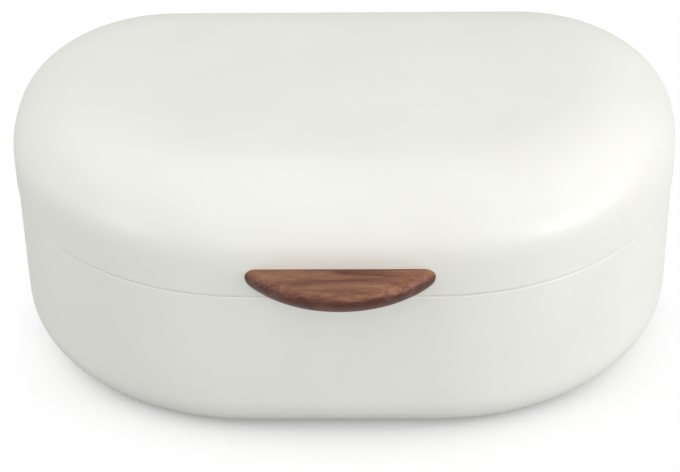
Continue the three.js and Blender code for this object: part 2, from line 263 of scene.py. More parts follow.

# %% [markdown]
# ## Oiled walnut
#
# The grip is sawn from walnut with the grain along its length, sanded and oiled. Growth layers a
# few millimetres apart show as long, slightly wavy streaks, darker brown on lighter. Between them
# lie open pores, thin dark dashes a few millimetres long. They are drawn 0.5 mm wide, about twice
# their real width, because finer ones wouldn't show. Oil fills the wood without a film, so it has a
# soft satin shine, weaker than a varnish, and the pores lie a little lower.
#
# All patterns are solid textures, stretched along X. So the streaks run over the rounded edge as
# they do in a sawn piece. Towards the grip's underside, shade is painted into the colour: from one
# height down to another, a growing share is taken off the pattern that gives the colour.

# %% Material: oiled walnut
STREAK_LENGTH, STREAK_WIDTH, STREAK_TURN = 48, 6, (0.0, 0.03, 0.035)
FIBRE_LENGTH, FIBRE_WIDTH = 14, 0.9
PORE_LENGTH, PORE_WIDTH, PORE_DEPTH = 5, 0.5, 0.06
# Heights between which painted shade darkens the grip towards its underside
FULL_SHADE_Z, NO_SHADE_Z = 114.5, 118.5
FIBRE_SHARE, SHADE_SHARE = 0.32, 0.19
walnut, tree = new_material("oiled_walnut")
position = add(tree, "TexCoord").outputs["Object"]
along = add(tree, "Mapping", {"Vector": position, "Rotation": STREAK_TURN,
                              "Scale": per_metre(STREAK_LENGTH, STREAK_WIDTH, STREAK_WIDTH)})
fibres = add(tree, "Mapping", {"Vector": position,
                               "Scale": per_metre(FIBRE_LENGTH, FIBRE_WIDTH, FIBRE_WIDTH)})
pores_at = add(tree, "Mapping", {"Vector": position,
                                 "Scale": per_metre(PORE_LENGTH, PORE_WIDTH, PORE_WIDTH)})
layers = add(tree, "TexNoise", {"Vector": along.outputs["Vector"], "Scale": 1.0, "Detail": 3.0,
                                "Roughness": 0.55, "Distortion": 0.6})
fine = add(tree, "TexNoise", {"Vector": fibres.outputs["Vector"], "Scale": 1.0, "Detail": 3.0})
pores = add(tree, "TexNoise", {"Vector": pores_at.outputs["Vector"], "Scale": 1.0, "Detail": 1.0})
blend = add(tree, "Mix", {"Factor": FIBRE_SHARE, "A": layers.outputs["Fac"],
                          "B": fine.outputs["Fac"]})
level = add(tree, "SeparateXYZ", {"Vector": position}).outputs["Z"]
# Painted shade: the colour grows darker from the upper height down to the lower one
painted_shade_below = add(tree, "MapRange", {"Value": level, "From Min": FULL_SHADE_Z * MM,
                                    "From Max": NO_SHADE_Z * MM, "To Min": SHADE_SHARE,
                                    "To Max": 0.0})
grain_and_painted_shade = add(tree, "Math", {0: blend.outputs["Result"], 1: painted_shade_below.outputs["Result"]},
             operation="SUBTRACT")
# Grain colour with the painted shade towards the underside already in it
wood_colour_and_shade = add(tree, "ValToRGB", {"Fac": grain_and_painted_shade.outputs["Value"]})
ramp(wood_colour_and_shade, [(0.28, "#4A2216"), (0.42, "#6A3F2F"), (0.53, "#875940"), (0.66, "#9C6F54")])
pore_mask = add(tree, "MapRange", {"Value": pores.outputs["Fac"], "From Min": 0.64,
                                   "From Max": 0.76})
with_pores = add(tree, "Mix", {"Factor": pore_mask.outputs["Result"],
                               "A": wood_colour_and_shade.outputs["Color"],
                               "B": linear("#48281D")}, data_type="RGBA")
satin = add(tree, "MapRange", {"Value": blend.outputs["Result"], "From Min": 0.3, "From Max": 0.7,
                               "To Min": 0.45, "To Max": 0.35})
height = add(tree, "Math", {0: blend.outputs["Result"], 1: pore_mask.outputs["Result"]},
             operation="SUBTRACT")
relief = add(tree, "Bump", {"Height": height.outputs["Value"], "Strength": 0.4,
                            "Distance": PORE_DEPTH * MM})
wood = add(tree, "BsdfPrincipled", {"Base Color": with_pores.outputs["Result"],
                                    "Roughness": satin.outputs["Result"], "IOR": 1.48,
                                    "Specular IOR Level": 0.35,
                                    "Normal": relief.outputs["Normal"]})
add(tree, "OutputMaterial", {"Surface": wood.outputs["BSDF"]})
print(f"Walnut: streaks {STREAK_LENGTH} mm long, {STREAK_WIDTH} mm apart, pores {PORE_WIDTH} mm wide")

# %% [markdown]
# ## Zinc plated steel and rubber
#
# Hinges, rivets, screws and washers are small steel pieces, bright zinc plated against rust.
# Rolling and tumbling leave fine lines along their length, so the roughness changes in thin streaks.
# Zinc plate is a light, slightly bluish grey, and as a metal it keeps the default IOR.
#
# The feet are moulded in dark grey nitrile rubber. The mould was blasted, which leaves a fine, dull
# grain about 0.4 mm across.

# %% Materials: zinc plated steel and moulded rubber
LINE_LENGTH, LINE_WIDTH, LINE_HEIGHT = 6, 0.25, 0.01
CLOUD = 5
GRAIN, GRAIN_HEIGHT = 0.4, 0.04
zinc, tree = new_material("zinc_plated_steel")
position = add(tree, "TexCoord").outputs["Object"]
lines_at = add(tree, "Mapping", {"Vector": position,
                                 "Scale": per_metre(LINE_LENGTH, LINE_WIDTH, LINE_WIDTH)})
lines = add(tree, "TexNoise", {"Vector": lines_at.outputs["Vector"], "Scale": 1.0, "Detail": 2.0})
cloud = add(tree, "TexNoise", {"Vector": position, "Scale": 1 / (CLOUD * MM), "Detail": 3.0})
plate_colour = add(tree, "ValToRGB", {"Fac": cloud.outputs["Fac"]})
ramp(plate_colour, [(0.3, "#B4B7BB"), (0.7, "#CBCDCF")])
plate_gloss = add(tree, "MapRange", {"Value": lines.outputs["Fac"], "From Min": 0.3,
                                     "From Max": 0.7, "To Min": 0.28, "To Max": 0.42})
plate_bump = add(tree, "Bump", {"Height": lines.outputs["Fac"], "Strength": 0.2,
                                "Distance": LINE_HEIGHT * MM})
plate = add(tree, "BsdfPrincipled", {"Base Color": plate_colour.outputs["Color"], "Metallic": 1.0,
                                     "Roughness": plate_gloss.outputs["Result"],
                                     "Normal": plate_bump.outputs["Normal"]})
add(tree, "OutputMaterial", {"Surface": plate.outputs["BSDF"]})

rubber, tree = new_material("nitrile_rubber_dark_grey")
position = add(tree, "TexCoord").outputs["Object"]
grain = add(tree, "TexNoise", {"Vector": position, "Scale": 1 / (GRAIN * MM), "Detail": 2.0})
grey = add(tree, "ValToRGB", {"Fac": grain.outputs["Fac"]})
ramp(grey, [(0.3, "#262626"), (0.7, "#323232")])
dull = add(tree, "MapRange", {"Value": grain.outputs["Fac"], "To Min": 0.7, "To Max": 0.85})
blasted = add(tree, "Bump", {"Height": grain.outputs["Fac"], "Strength": 0.4,
                             "Distance": GRAIN_HEIGHT * MM})
moulded = add(tree, "BsdfPrincipled", {"Base Color": grey.outputs["Color"],
                                       "Roughness": dull.outputs["Result"], "IOR": 1.52,
                                       "Normal": blasted.outputs["Normal"]})
add(tree, "OutputMaterial", {"Surface": moulded.outputs["BSDF"]})
print("Materials:", [material.name for material in (powder_coat, walnut, zinc, rubber)])

# %% [markdown]
# ## The outline from above
#
# Tub and lid share one outline: a long flat back with tight corners, and a short flat front with
# wide ones that nearly meet the back's at the two ends. It could be drawn as a curve, but a plane
# with its four corners bevelled gives the same arcs in a few steps. The two flats are then divided
# about as finely as the arcs, so that the sheet bends evenly when it is subdivided later.

# %% Lay the outline as one face
LENGTH, DEPTH = 400, 250
FRONT_CORNER, FRONT_STEPS, FRONT_CUTS = 146, 20, 9
BACK_CORNER, BACK_STEPS, BACK_CUTS = 93, 15, 19
SHORTEST_FLAT, WELD = 50, 0.1
PLAN_Y = (lid_high.y + lid_low.y) / 2 / MM
print("The plan's middle lies at y =", round(PLAN_Y, 3), "mm")


def lay_outline(name, inset, z):
    """The outline moved inwards by the inset, as one face, left in edit mode and selected."""
    deselect()
    bpy.ops.mesh.primitive_plane_add(size=1, location=(0, PLAN_Y * MM, z * MM))
    bpy.context.object.scale = ((LENGTH - 2 * inset) * MM, (DEPTH - 2 * inset) * MM, 1)
    piece = start_piece(name)
    for side, radius, steps in ((-1, FRONT_CORNER, FRONT_STEPS), (1, BACK_CORNER, BACK_STEPS)):
        edge_y = PLAN_Y + side * (DEPTH / 2 - inset)
        pick("VERT", lambda at, vert: abs(at.y - edge_y) < CLOSE)
        bpy.ops.mesh.bevel(offset=(radius - inset) * MM, segments=steps, profile=0.5,
                           affect="VERTICES")
    bpy.ops.mesh.select_all(action="SELECT")
    bpy.ops.mesh.remove_doubles(threshold=WELD * MM)
    for side, cuts in ((-1, FRONT_CUTS), (1, BACK_CUTS)):
        pick("EDGE", lambda at, edge: edge.calc_length() > SHORTEST_FLAT * MM
             and side * (at.y - PLAN_Y) > 0)
        bpy.ops.mesh.subdivide(number_cuts=cuts)
    count = len(bmesh.from_edit_mesh(piece.data).verts)
    print(f"{name}: outline of {count} points, {inset} mm inside the lid's edge")
    pick("FACE", lambda at, face: True)
    return piece


# %% [markdown]
# ## Pressing sheet
#
# A press draws a flat sheet over a form. Here the flat face is drawn step by step: where the
# section moves inwards, inset carries the face in and up at once, and where it runs upright, extrude
# does. The section is written as a list of places, each with its offset from the outline and its
# height. The dome's edge is a quarter of an oval, because it reaches further in than it rises.

# %% Helpers for pressing
SHEET = 1
SKIRT_TOP, DOME_REACH, DOME_RISE, DOME_TURN, DOME_STEPS = 122.2, 62, 46, 84, 11
CAP_SIDES = 50


def rounded(offset, z, reach, rise, turn, steps):
    """Places on an oval edge, from its upright end, without the first one."""
    angles = [math.radians(turn) * (i + 1) / steps for i in range(steps)]
    return [(offset + reach * (1 - math.cos(a)), z + rise * math.sin(a)) for a in angles]


def press(places, facing):
    """Draws the selected face through the places. It faces up (1) or down (-1)."""
    for (offset, z), (next_offset, next_z) in zip(places, places[1:]):
        inwards, rise = (next_offset - offset) * MM, (next_z - z) * MM
        if inwards > CLOSE * MM:
            bpy.ops.mesh.inset(thickness=inwards, depth=facing * rise, use_even_offset=True)
        else:
            bpy.ops.mesh.extrude_region_move(TRANSFORM_OT_translate={"value": (0, 0, rise)})


def pick_cap(facing):
    """Selects the one many-sided face that closes a shell at its top or bottom."""
    pick("FACE", lambda at, face: len(face.verts) > CAP_SIDES and face.normal.z * facing > 0.5)


dome = rounded(0, SKIRT_TOP, DOME_REACH, DOME_RISE, DOME_TURN, DOME_STEPS)
print("The dome's edge ends", [round(v, 1) for v in dome[-1]], "mm in and up")

# %% [markdown]
# ## The tub
#
# The tub's wall stands 0.8 mm inside the lid's. At the top it turns in over a 2 mm shoulder to a
# narrow ledge, and from there up to a lip that the lid drops over. At the foot it runs in over a
# large oval corner to the floor. It could be made as a solid and hollowed, but sheet is sheet: only
# its outer skin is drawn here, and Solidify then gives it its one millimetre on the inside. Extra
# rings close to an edge keep it crisp when the sheet is subdivided.

# %% Press the tub
TUB_INSET, SHOULDER, LIP_INSET = 0.8, 2, 5.8
FLOOR_Z, CORNER_REACH, CORNER_RISE = 2, 20, 24
CORNER_TOP = FLOOR_Z + CORNER_RISE
WALL_TOP, LEDGE_Z, LIP_TOP = 99, 101, 110
tub = lay_outline("tub_shell", TUB_INSET, CORNER_TOP)
wall = [(TUB_INSET, z) for z in (CORNER_TOP, 44, 62, 80, 94, WALL_TOP)]
shoulder = rounded(TUB_INSET, WALL_TOP, SHOULDER, SHOULDER, 90, 4)
ledge = [(offset, LEDGE_Z) for offset in (3.6, 5.0, LIP_INSET)]
lip = [(LIP_INSET, z) for z in (101.8, 105, 109.4, LIP_TOP)]
press(wall + shoulder + ledge + lip, 1)
bpy.ops.mesh.delete(type="FACE")
pick_cap(-1)
corner = rounded(TUB_INSET, CORNER_TOP, CORNER_REACH, -CORNER_RISE, 90, 8)
floor = [(offset, FLOOR_Z) for offset in (24, 40, 64)]
press([(TUB_INSET, CORNER_TOP)] + corner + floor, -1)
modify(tub, "SOLIDIFY", thickness=SHEET * MM, offset=-1, use_even_offset=True)
modify(tub, "SUBSURF", levels=2, render_levels=2)
print("Tub faces:", len(tub.data.polygons))

# %% [markdown]
# ## The lid
#
# The lid has an upright skirt and a large rounded edge that runs on into a shallow crown. Its bare
# edge is folded in on itself, as on every such box, so that no one is cut by it. The fold leaves a
# gap of 0.4 mm between the two layers. The crown is drawn by extruding rings and scaling them
# towards the middle, because an inset would keep the rings' corners and not shrink them.

# %% Press the lid
SKIRT_FOOT, FOLD_RADIUS = 102.2, 1.2
CROWN_SHARES = (0.86, 0.7, 0.54, 0.38, 0.24, 0.12, 0.04)
lid = lay_outline("lid_shell", 0, SKIRT_FOOT)
skirt = [(0, z) for z in (SKIRT_FOOT, 104.5, 112, SKIRT_TOP)]
press(skirt + dome, 1)
edge_height = dome[-1][1]
crown_top = lid_high.z / MM
crown_rise = crown_top - edge_height
share = 1.0
for next_share in CROWN_SHARES:
    height = crown_top - crown_rise * next_share**2
    lift = (height - edge_height) * MM
    bpy.ops.mesh.extrude_region_move(TRANSFORM_OT_translate={"value": (0, 0, lift)})
    bpy.ops.transform.resize(value=(next_share / share, next_share / share, 1),
                             center_override=(0, PLAN_Y * MM, 0))
    share, edge_height = next_share, height
pick_cap(-1)
fold = rounded(0, SKIRT_FOOT, FOLD_RADIUS, -FOLD_RADIUS, 180, 4)
fold += [(2 * FOLD_RADIUS, z) for z in (103.4, 104.6, 105)]
press([(0, SKIRT_FOOT)] + fold, -1)
bpy.ops.mesh.delete(type="FACE")
modify(lid, "SOLIDIFY", thickness=SHEET * MM, offset=-1, use_even_offset=True)
modify(lid, "SUBSURF", levels=2, render_levels=2)
print("Lid faces:", len(lid.data.polygons))

# %% [markdown]
# Both shells are painted all over, inside and out, and each stands in the place of its CAD node. The
# tub rides with the body that stands still, and the lid with the one that turns.

# %% Finish tub and lid
finish_piece(tub, powder_coat, "tub", "tub")
finish_piece(lid, powder_coat, "lid", "lid")

# %% [markdown]
# ## The walnut grip
#
# The grip is a slice off the side of a thick disc: a bow in front and a flat back that lies on the
# skirt. So the disc comes first. Its upper rim is bevelled with a 5 mm round, and its lower rim takes
# the rest of the thickness in one large round for the fingers. Bisect then saws the slice off and
# fills the cut. Rounding the slice after the cut would spoil the rounds at its two tips. A narrow
# ring inside each flat face keeps the smooth shading of the rounds off it.

# %% Round the disc and saw the grip off it
GRIP_LENGTH, GRIP_DEPTH, GRIP_THICKNESS, GRIP_EDGE = 106, 26, 15.5, 5
GRIP_RING, RIM_LEFT, DISC_SIDES, SAW_SLACK = 0.4, 0.05, 240, 0.001
FRONT_Y = PLAN_Y - DEPTH / 2
SCREW_Z = 112.2
bow_radius = ((GRIP_LENGTH / 2) ** 2 + GRIP_DEPTH**2) / (2 * GRIP_DEPTH)
grip_bottom = SCREW_Z - GRIP_THICKNESS / 2
grip_top = SCREW_Z + GRIP_THICKNESS / 2
disc_y = FRONT_Y - GRIP_DEPTH + bow_radius
finger_round = GRIP_THICKNESS - GRIP_EDGE - RIM_LEFT
deselect()
bpy.ops.mesh.primitive_circle_add(vertices=DISC_SIDES, radius=bow_radius * MM, fill_type="NGON",
                                  location=(0, disc_y * MM, grip_bottom * MM))
grip = start_piece("walnut_grip")
bpy.ops.mesh.extrude_region_move(TRANSFORM_OT_translate={"value": (0, 0, GRIP_THICKNESS * MM)})
for z, radius, steps in ((grip_top, GRIP_EDGE, 8), (grip_bottom, finger_round, 14)):
    pick("EDGE", lambda at, edge: abs(at.z - z) < CLOSE)
    bpy.ops.mesh.bevel(offset=radius * MM, segments=steps, profile=0.5, affect="EDGES")
pick("FACE", lambda at, face: len(face.verts) > CAP_SIDES)
bpy.ops.mesh.inset(thickness=GRIP_RING * MM, use_individual=True)
bpy.ops.mesh.select_all(action="SELECT")
bpy.ops.mesh.bisect(plane_co=(0, FRONT_Y * MM, 0), plane_no=(0, 1, 0), use_fill=True,
                    clear_outer=True, threshold=SAW_SLACK * MM)
print("The bow's radius is", round(bow_radius, 2), "mm")
finish_piece(grip, walnut, "lid", "grip")

# %% [markdown]
# ## Turned pieces
#
# Feet, rivets, screws and pins are all round, so one helper makes them. It starts from a filled
# circle and goes from place to place up the axis: extrude, then scale to the next radius. Each kind
# is made once, at the origin, and copied to its places.

# %% Helpers for turned pieces
QUARTER = math.pi / 2
ROUND_SIDES, RIVET_SIDES = 40, 32


def turn_piece(name, section, sides=ROUND_SIDES):
    """Turns a piece about Z through a list of radii and heights."""
    radius, z = section[0]
    deselect()
    bpy.ops.mesh.primitive_circle_add(vertices=sides, radius=radius * MM, fill_type="NGON",
                                      location=(0, 0, z * MM))
    piece = start_piece(name)
    for next_radius, next_z in section[1:]:
        rise, grow = (next_z - z) * MM, next_radius / radius
        bpy.ops.mesh.extrude_region_move(TRANSFORM_OT_translate={"value": (0, 0, rise)})
        bpy.ops.transform.resize(value=(grow, grow, 1), center_override=(0, 0, 0))
        radius, z = next_radius, next_z
    return piece


def node_middle(node):
    low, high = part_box(node)
    return (low + high) / 2 / MM


print("Middle of the left hinge pin in mm:", [round(v, 2) for v in node_middle("hinge_left_pin")])

# %% [markdown]
# A push-in foot is a flat button with a stem and a barb, pushed up through a hole in the tub's
# floor. Its sole has a rounded rim and a small dimple where the mould's pin stood.

# %% The four rubber feet
foot_section = [(2.2, 0.6), (2.7, 0.5), (3.1, 0.12), (3.6, 0), (7.0, 0), (7.6, 0.18),
                (7.9, 0.5), (8, 0.9), (8, 1.9), (7.9, 2), (2.5, 2), (2.5, 3), (3.3, 3),
                (3.6, 3.2), (3.5, 3.5), (1.9, 5.2), (1.2, 5.4)]
first_foot = turn_piece("foot_pattern", foot_section)
for node in ("foot_front_left", "foot_front_right", "foot_back_left", "foot_back_right"):
    foot = copy_of(first_foot, "rubber_" + node)
    middle = node_middle(node)
    place(foot, (middle.x, middle.y, 0))
    finish_piece(foot, rubber, "tub", node)
bpy.data.objects.remove(first_foot)

# %% [markdown]
# The leaves are held by blind rivets, set from outside: a low dome with a small well in its middle,
# where the mandrel broke off, and a squeezed collar inside the sheet.

# %% The eight rivets
rivet_section = [(1.5, -0.8), (2.2, -0.75), (2.5, -0.45), (2.5, -0.1), (2.4, 0), (1.6, 0), (1.6, 2.2),
                 (2.9, 2.2), (3, 2.3), (2.9, 2.55), (2.6, 2.8), (2, 3.05), (1.4, 3.17), (1, 3.2),
                 (0.85, 3.12), (0.8, 2.7), (0.4, 2.75)]
first_rivet = turn_piece("rivet_pattern", rivet_section, RIVET_SIDES)
inner_wall = {"tub": DEPTH / 2 - TUB_INSET - SHEET, "lid": DEPTH / 2 - SHEET}
for body in ("tub", "lid"):
    for side in ("left", "right"):
        for letter in "ab":
            node = f"{body}_rivet_{side}_{letter}"
            rivet = copy_of(first_rivet, "blind_" + node)
            middle = node_middle(node)
            place(rivet, (middle.x, PLAN_Y + inner_wall[body], middle.z), (-QUARTER, 0, 0))
            finish_piece(rivet, zinc, body, node)
bpy.data.objects.remove(first_rivet)

# %% [markdown]
# Two pan head wood screws are driven from inside the lid, over washers. The cross in the head is
# cut with a Boolean: two crossed bars, narrower towards their inner end, are taken away from it.

# %% The two screws
BAR_WIDTH, BAR_LENGTH, BAR_DEPTH, INNER_END_SHARES = 0.7, 3.4, 1.6, (0.6, 0.5, 1)
WASHER = 0.8
WASHER_Y = FRONT_Y + SHEET + WASHER
screw_section = [(2.3, -2), (2.9, -1.85), (3.3, -1.5), (3.5, -1), (3.5, -0.15), (3.4, 0), (1.75, 0),
                 (1.75, 12), (1.1, 13.5), (0.2, 15)]
first_screw = turn_piece("screw_pattern", screw_section)
deselect()
bpy.ops.mesh.primitive_cube_add(size=1, location=(0, 0, -BAR_DEPTH * MM),
                                scale=(BAR_WIDTH * MM, BAR_LENGTH * MM, BAR_DEPTH * MM))
cross = start_piece("cross_cutter")
pick("FACE", lambda at, face: face.normal.z > 0.5)
bpy.ops.transform.resize(value=INNER_END_SHARES, center_override=(0, 0, 0))
bar = copy_of(cross, "cross_bar")
place(bar, turn=(0, 0, QUARTER))
join(cross, bar)
modify(first_screw, "BOOLEAN", object=cross, operation="DIFFERENCE", solver="EXACT", use_self=True)
bpy.data.objects.remove(cross)
for side in ("left", "right"):
    node = f"grip_screw_{side}"
    screw = copy_of(first_screw, f"wood_screw_{side}")
    place(screw, (node_middle(node).x, WASHER_Y, SCREW_Z), (QUARTER, 0, 0))
    finish_piece(screw, zinc, "lid", node)
bpy.data.objects.remove(first_screw)

# %% [markdown]
# A washer is punched out of sheet. A filled circle is inset, so that the hole's face can be deleted,
# and the ring that is left is extruded to its thickness. The punch leaves its edges slightly round.

# %% The two washers
WASHER_RADIUS, HOLE_RADIUS, SOFT_EDGE = 5, 2.05, 0.15
SHARP = math.radians(50)
deselect()
bpy.ops.mesh.primitive_circle_add(vertices=ROUND_SIDES, radius=WASHER_RADIUS * MM,
                                  fill_type="NGON")
first_washer = start_piece("washer_pattern")
bpy.ops.mesh.inset(thickness=(WASHER_RADIUS - HOLE_RADIUS) * MM)
bpy.ops.mesh.delete(type="FACE")
bpy.ops.mesh.select_all(action="SELECT")
bpy.ops.mesh.extrude_region_move(TRANSFORM_OT_translate={"value": (0, 0, WASHER * MM)})
modify(first_washer, "BEVEL", width=SOFT_EDGE * MM, segments=2, limit_method="ANGLE",
       angle_limit=SHARP)
for side in ("left", "right"):
    node = f"grip_washer_{side}"
    washer = copy_of(first_washer, f"plain_washer_{side}")
    place(washer, (node_middle(node).x, WASHER_Y, SCREW_Z), (QUARTER, 0, 0))
    finish_piece(washer, zinc, "lid", node)
bpy.data.objects.remove(first_washer)

# %% [markdown]
# A hinge pin is cut from round wire, and both its ends are upset to low heads, so that it can't
# slide out. The two pins ride with the tub, because its leaves hold them.

# %% The two hinge pins
pin_section = [(1.6, -20.8), (2.1, -20.7), (2.3, -20.45), (2.3, -20.05), (1.5, -20), (1.5, 20),
               (2.3, 20.05), (2.3, 20.45), (2.1, 20.7), (1.6, 20.8)]
first_pin = turn_piece("pin_pattern", pin_section)
AXIS = node_middle("hinge_left_pin")
for side in ("left", "right"):
    node = f"hinge_{side}_pin"
    pin = copy_of(first_pin, "steel_" + node)
    place(pin, node_middle(node), (0, QUARTER, 0))
    finish_piece(pin, zinc, "tub", node)
bpy.data.objects.remove(first_pin)
print("The hinge axis lies at y, z =", round(AXIS.y, 2), round(AXIS.z, 2), "mm")

# %% [markdown]
# ## The hinge leaves
#
# A leaf is stamped from 1.2 mm strip, folded out at its end and rolled round the pin. The model
# goes the same way: a flat plane is cut to the blank's shape with bisect, its end is extruded
# outwards for the fold, and spin rolls it. Solidify then gives the strip its thickness.

# %% Helpers for the leaves
STRIP, BARREL_RADIUS = 1.2, 3.2
ROLL = BARREL_RADIUS - STRIP / 2
ROLL_ANGLE, ROLL_STEPS = math.radians(275), 24
LEAF_WIDTH, LEAF_CORNER, LEAF_EDGE = 40, 4, 0.2


def lay_blank(name, y, low_z, high_z):
    """A flat upright plane as wide as a leaf, left in edit mode and selected."""
    deselect()
    bpy.ops.mesh.primitive_plane_add(size=1, location=(0, y * MM, (low_z + high_z) / 2 * MM),
                                     rotation=(QUARTER, 0, 0))
    bpy.context.object.scale = (LEAF_WIDTH * MM, (high_z - low_z) * MM, 1)
    return start_piece(name)


def cut_down(x):
    """Cuts all of the blank from top to bottom."""
    bpy.ops.mesh.select_all(action="SELECT")
    bpy.ops.mesh.bisect(plane_co=(x * MM, 0, 0), plane_no=(1, 0, 0))


def cut_across(z):
    """Cuts the selected faces at one height."""
    bpy.ops.mesh.bisect(plane_co=(0, 0, z * MM), plane_no=(0, 0, 1))


def fold_out(end_y, at_z, test):
    """Extrudes the edges at a height outwards to the given Y, and leaves the new ones selected."""
    pick("EDGE", lambda at, edge: abs(at.z - at_z) < CLOSE and test(at))
    mesh = bmesh.from_edit_mesh(bpy.context.object.data)
    start_y = next(middle_of(edge).y for edge in mesh.edges if edge.select)
    bpy.ops.mesh.extrude_region_move(TRANSFORM_OT_translate={"value": (0, end_y * MM - start_y, 0)})


def roll_up(way):
    """Rolls the selected edges round the pin: 1 over it, and -1 under it."""
    bpy.ops.mesh.spin(steps=ROLL_STEPS, angle=way * ROLL_ANGLE, center=AXIS * MM, axis=(1, 0, 0))


def round_corners(z):
    pick("VERT", lambda at, vert: abs(at.z - z) < CLOSE
         and abs(abs(at.x) - LEAF_WIDTH / 2) < CLOSE)
    bpy.ops.mesh.bevel(offset=LEAF_CORNER * MM, segments=6, profile=0.5, affect="VERTICES")


def thicken(piece):
    bpy.ops.mesh.select_all(action="SELECT")
    bpy.ops.mesh.remove_doubles(threshold=CLOSE * MM)
    bpy.ops.mesh.normals_make_consistent(inside=False)
    modify(piece, "SOLIDIFY", thickness=STRIP * MM, offset=0, use_even_offset=True)
    modify(piece, "BEVEL", width=LEAF_EDGE * MM, segments=2, limit_method="ANGLE",
           angle_limit=SHARP)


print("A rolled barrel is", 2 * BARREL_RADIUS, "mm across, and a leaf", LEAF_WIDTH, "mm wide")

# %% [markdown]
# The tub's leaf has two knuckles and, between them, a lower tab, parted from them by slots. Four
# upright cuts divide the blank, and what stands over the tab and the slots is cut off and deleted.
# The tab is folded straight out as the lid's stop, a little short of the pin's middle. The
# knuckles' edges are folded out as far as the pin's middle and rolled up from under it.

# %% The tub's leaf
TUB_PLATE_Y = PLAN_Y + DEPTH / 2 - TUB_INSET + STRIP / 2
TUB_LEAF_DROP = 22
TUB_LEAF_FOOT = AXIS.z - TUB_LEAF_DROP
TAB_SIDE, SLOT_SIDE = 6.7, 7.3
TAB_TOP, SLOT_FOOT, TAB_SHORT = 96.9, 95.4, 0.9
under_pin = AXIS.z - ROLL
tub_leaf = lay_blank("tub_leaf_pattern", TUB_PLATE_Y, TUB_LEAF_FOOT, under_pin)
for x in (-SLOT_SIDE, -TAB_SIDE, TAB_SIDE, SLOT_SIDE):
    cut_down(x)
for near, far, top in ((0, TAB_SIDE, TAB_TOP), (TAB_SIDE, SLOT_SIDE, SLOT_FOOT)):
    pick("FACE", lambda at, face: near <= abs(at.x) < far)
    cut_across(top)
    pick("FACE", lambda at, face: abs(at.x) < far and at.z > top)
    bpy.ops.mesh.delete(type="FACE")
round_corners(TUB_LEAF_FOOT)
fold_out(AXIS.y - TAB_SHORT, TAB_TOP, lambda at: abs(at.x) < TAB_SIDE)
fold_out(AXIS.y, under_pin, lambda at: True)
roll_up(-1)
thicken(tub_leaf)
reach = [round(max(vert.co[axis] for vert in tub_leaf.data.vertices) / MM, 2) for axis in (1, 2)]
print("The tub's leaf reaches to y, z =", reach, "mm")

# %% [markdown]
# The lid's leaf has one knuckle, between the other two, rolled from over the pin. A lug on it meets
# the tab when the lid stands 105 degrees open, and so holds the lid.

# %% The lid's leaf
LID_PLATE_Y = PLAN_Y + DEPTH / 2 + STRIP / 2
LID_LEAF_TOP, KNUCKLE_SIDE, KNUCKLE_TOP = 116.3, 7, 104.5
LUG_REACH, LUG_DEPTH, LUG_EDGE, LUG_TILT = 4.1, 3, 0.25, math.radians(15)
over_pin = AXIS.z + ROLL
lid_leaf = lay_blank("lid_leaf_pattern", LID_PLATE_Y, over_pin, LID_LEAF_TOP)
for x in (-KNUCKLE_SIDE, KNUCKLE_SIDE):
    cut_down(x)
pick("FACE", lambda at, face: abs(at.x) > KNUCKLE_SIDE)
cut_across(KNUCKLE_TOP)
pick("FACE", lambda at, face: abs(at.x) > KNUCKLE_SIDE and at.z < KNUCKLE_TOP)
bpy.ops.mesh.delete(type="FACE")
round_corners(LID_LEAF_TOP)
fold_out(AXIS.y, over_pin, lambda at: True)
roll_up(1)
thicken(lid_leaf)
deselect()
bpy.ops.mesh.primitive_cube_add(size=1, location=(0, LUG_REACH * MM, 0),
                                scale=(2 * KNUCKLE_SIDE * MM, LUG_DEPTH * MM, STRIP * MM))
lug = start_piece("lug")
modify(lug, "BEVEL", width=LUG_EDGE * MM, segments=2, limit_method="ANGLE")
place(lug, (0, AXIS.y, AXIS.z), (LUG_TILT, 0, 0))
join(lid_leaf, lug)
print("The lid's leaf and its lug have", len(lid_leaf.data.polygons), "faces")

# %% [markdown]
# Each pattern is copied once for each hinge. Only X changes, because both hinges lie on one line.

# %% The four leaves
for side in ("left", "right"):
    for body, pattern in (("tub", tub_leaf), ("lid", lid_leaf)):
        leaf = copy_of(pattern, f"rolled_{body}_leaf_{side}")
        place(leaf, (node_middle(f"hinge_{side}_pin").x, 0, 0))
        finish_piece(leaf, zinc, body, f"hinge_{side}_{body}_leaf")
bpy.data.objects.remove(tub_leaf)
bpy.data.objects.remove(lid_leaf)

# %% [markdown]
# ## The floor and the light
#
# The box stands on a plain white floor, as in a shop's picture. Close to the box the floor is matte
# and lit like the box, so the shadow stays. For the camera, and in reflections, it goes over to
# pure white away from the box and sooner towards its back, as if someone had cleared the picture's
# background but left the shadow in front. The two are mixed and not added, because a floor brighter
# than white would glare in the paint at flat angles. To the light itself the floor is a middle grey,
# or its bounce would light up the tub's walls.

# %% The white floor
FLOOR_WIDTH = 14000
CLEAR_FROM, CLEAR_TO, NEAR_SHARE = 0.88, 1.18, 0.1
BACK_FROM, BACK_TO, BACK_SHARE = -80, -30, 0.35


def seen_rays(tree):
    """A socket that is 1 for the camera, in reflections and through glass, and 0 for the light."""
    rays = add(tree, "LightPath").outputs
    seen = add(tree, "Math", {0: rays["Is Camera Ray"], 1: rays["Is Glossy Ray"]},
               operation="MAXIMUM")
    seen = add(tree, "Math", {0: seen.outputs["Value"], 1: rays["Is Transmission Ray"]},
               operation="MAXIMUM")
    return seen.outputs["Value"]


